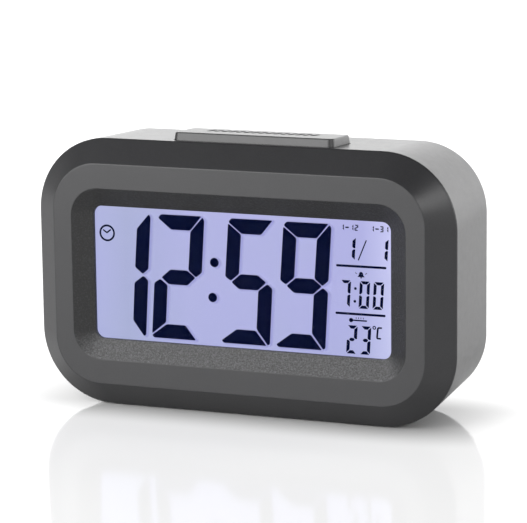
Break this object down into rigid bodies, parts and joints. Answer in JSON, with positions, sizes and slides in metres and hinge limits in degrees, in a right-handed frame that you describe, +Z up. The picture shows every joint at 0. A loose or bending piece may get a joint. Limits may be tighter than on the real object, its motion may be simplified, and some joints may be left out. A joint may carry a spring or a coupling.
{
  "type": "digital alarm clock",
  "caption": "Upright battery desk clock with a lit segment display in a chamfered frame, a snooze bar on top and setting keys, alarm slider and cell cover behind.",
  "frame": {"origin": "on the table, under the middle of the clock's bounding box", "axes": "+X to the right seen from the front, +Y from the display towards the back, +Z up"},
  "size_m": [0.135, 0.043, 0.0857],
  "materials": {
    "case_plastic": "fine spark-eroded satin",
    "snooze_plastic": "satin",
    "cover_plastic": "fine spark-eroded satin",
    "button_plastic": "satin",
    "clear_window": "polished clear acrylic",
    "lcd_glass": "polished",
    "lit_polarizer": "lit lavender film",
    "rear_polarizer": "film",
    "diffuser_film": "frosted film",
    "light_guide_acrylic": "polished clear acrylic",
    "reflector_film": "white film",
    "led_body": "moulded white with yellow phosphor",
    "board_laminate": "green solder resist",
    "frame_plastic": "white moulded",
    "contact_rubber": "layered conductive rubber",
    "screw_steel": "zinc plated",
    "epoxy": "cured black resin",
    "crystal_can": "drawn can",
    "capacitor_sleeve": "shrink sleeve",
    "chip_ceramic": "fired ceramic",
    "buzzer_plastic": "moulded black",
    "sensor_bead": "dipped bead",
    "switch_plastic": "moulded black",
    "plunger_plastic": "moulded ivory",
    "cell_wrap": "printed sleeve, bare of print",
    "contact_nickel": "nickel plated",
    "foot_rubber": "matte",
    "wire_red": "insulated wire",
    "wire_grey": "insulated wire",
    "wire_white": "insulated wire"
  },
  "bodies": {
    "casing": {"front_bezel": "case_plastic", "rear_housing": "case_plastic", "display_window": "clear_window", "lcd_front_polarizer": "lit_polarizer", "lcd_front_glass": "lcd_glass", "lcd_rear_glass": "lcd_glass", "lcd_rear_polarizer": "rear_polarizer", "diffuser_sheet": "diffuser_film", "light_guide": "light_guide_acrylic", "reflector_sheet": "reflector_film", "backlight_leds": "led_body", "backlight_board": "board_laminate", "lcd_frame": "frame_plastic", "zebra_strip": "contact_rubber", "lcd_frame_screws": "screw_steel", "main_board": "board_laminate", "main_board_screws": "screw_steel", "driver_chip": "epoxy", "quartz_crystal": "crystal_can", "capacitors": "capacitor_sleeve", "chip_resistors": "chip_ceramic", "buzzer": "buzzer_plastic", "temperature_sensor": "sensor_bead", "housing_screws": "screw_steel", "front_feet": "foot_rubber", "rear_feet": "foot_rubber", "key_board": "board_laminate", "key_board_screws": "screw_steel", "key_switches": "switch_plastic", "slide_switch": "crystal_can", "snooze_board": "board_laminate", "snooze_board_screws": "screw_steel", "snooze_switches": "switch_plastic", "aaa_cells": "cell_wrap", "battery_plate_contacts": "contact_nickel", "battery_springs": "contact_nickel", "battery_leads": "wire_red", "key_board_leads": "wire_grey", "snooze_leads": "wire_white"},
    "snooze": {"snooze_bar": "snooze_plastic", "snooze_plungers": "plunger_plastic"},
    "alarm_switch": {"alarm_slider": "button_plastic", "slide_switch_lever": "switch_plastic"},
    "cover": {"battery_cover": "cover_plastic", "battery_cover_latch": "cover_plastic"},
    "mode_key": {"mode_button": "button_plastic", "mode_plunger": "plunger_plastic"},
    "set_key": {"set_button": "button_plastic", "set_plunger": "plunger_plastic"},
    "up_key": {"up_button": "button_plastic", "up_plunger": "plunger_plastic"},
    "down_key": {"down_button": "button_plastic", "down_plunger": "plunger_plastic"}
  },
  "joints": [
    {"name": "snooze_press", "type": "slide", "parent": "casing", "child": "snooze", "axis": [0, -0.0497, -0.9988], "range_m": [0, 0.0008], "stiffness_N_per_m": 1200},
    {"name": "mode_press", "type": "slide", "parent": "casing", "child": "mode_key", "axis": [0, -1, 0], "range_m": [0, 0.0005], "stiffness_N_per_m": 1000},
    {"name": "set_press", "type": "slide", "parent": "casing", "child": "set_key", "axis": [0, -1, 0], "range_m": [0, 0.0005], "stiffness_N_per_m": 1000},
    {"name": "up_press", "type": "slide", "parent": "casing", "child": "up_key", "axis": [0, -1, 0], "range_m": [0, 0.0005], "stiffness_N_per_m": 1000},
    {"name": "down_press", "type": "slide", "parent": "casing", "child": "down_key", "axis": [0, -1, 0], "range_m": [0, 0.0005], "stiffness_N_per_m": 1000},
    {"name": "alarm_slide", "type": "slide", "parent": "casing", "child": "alarm_switch", "axis": [1, 0, 0], "range_m": [0, 0.003]},
    {"name": "cover_open", "type": "hinge", "parent": "casing", "child": "cover", "pos_m": [0, 0.021, 0.009], "axis": [-1, 0, 0], "range_deg": [0, 45], "deforming": ["battery_cover_latch"]}
  ]
}
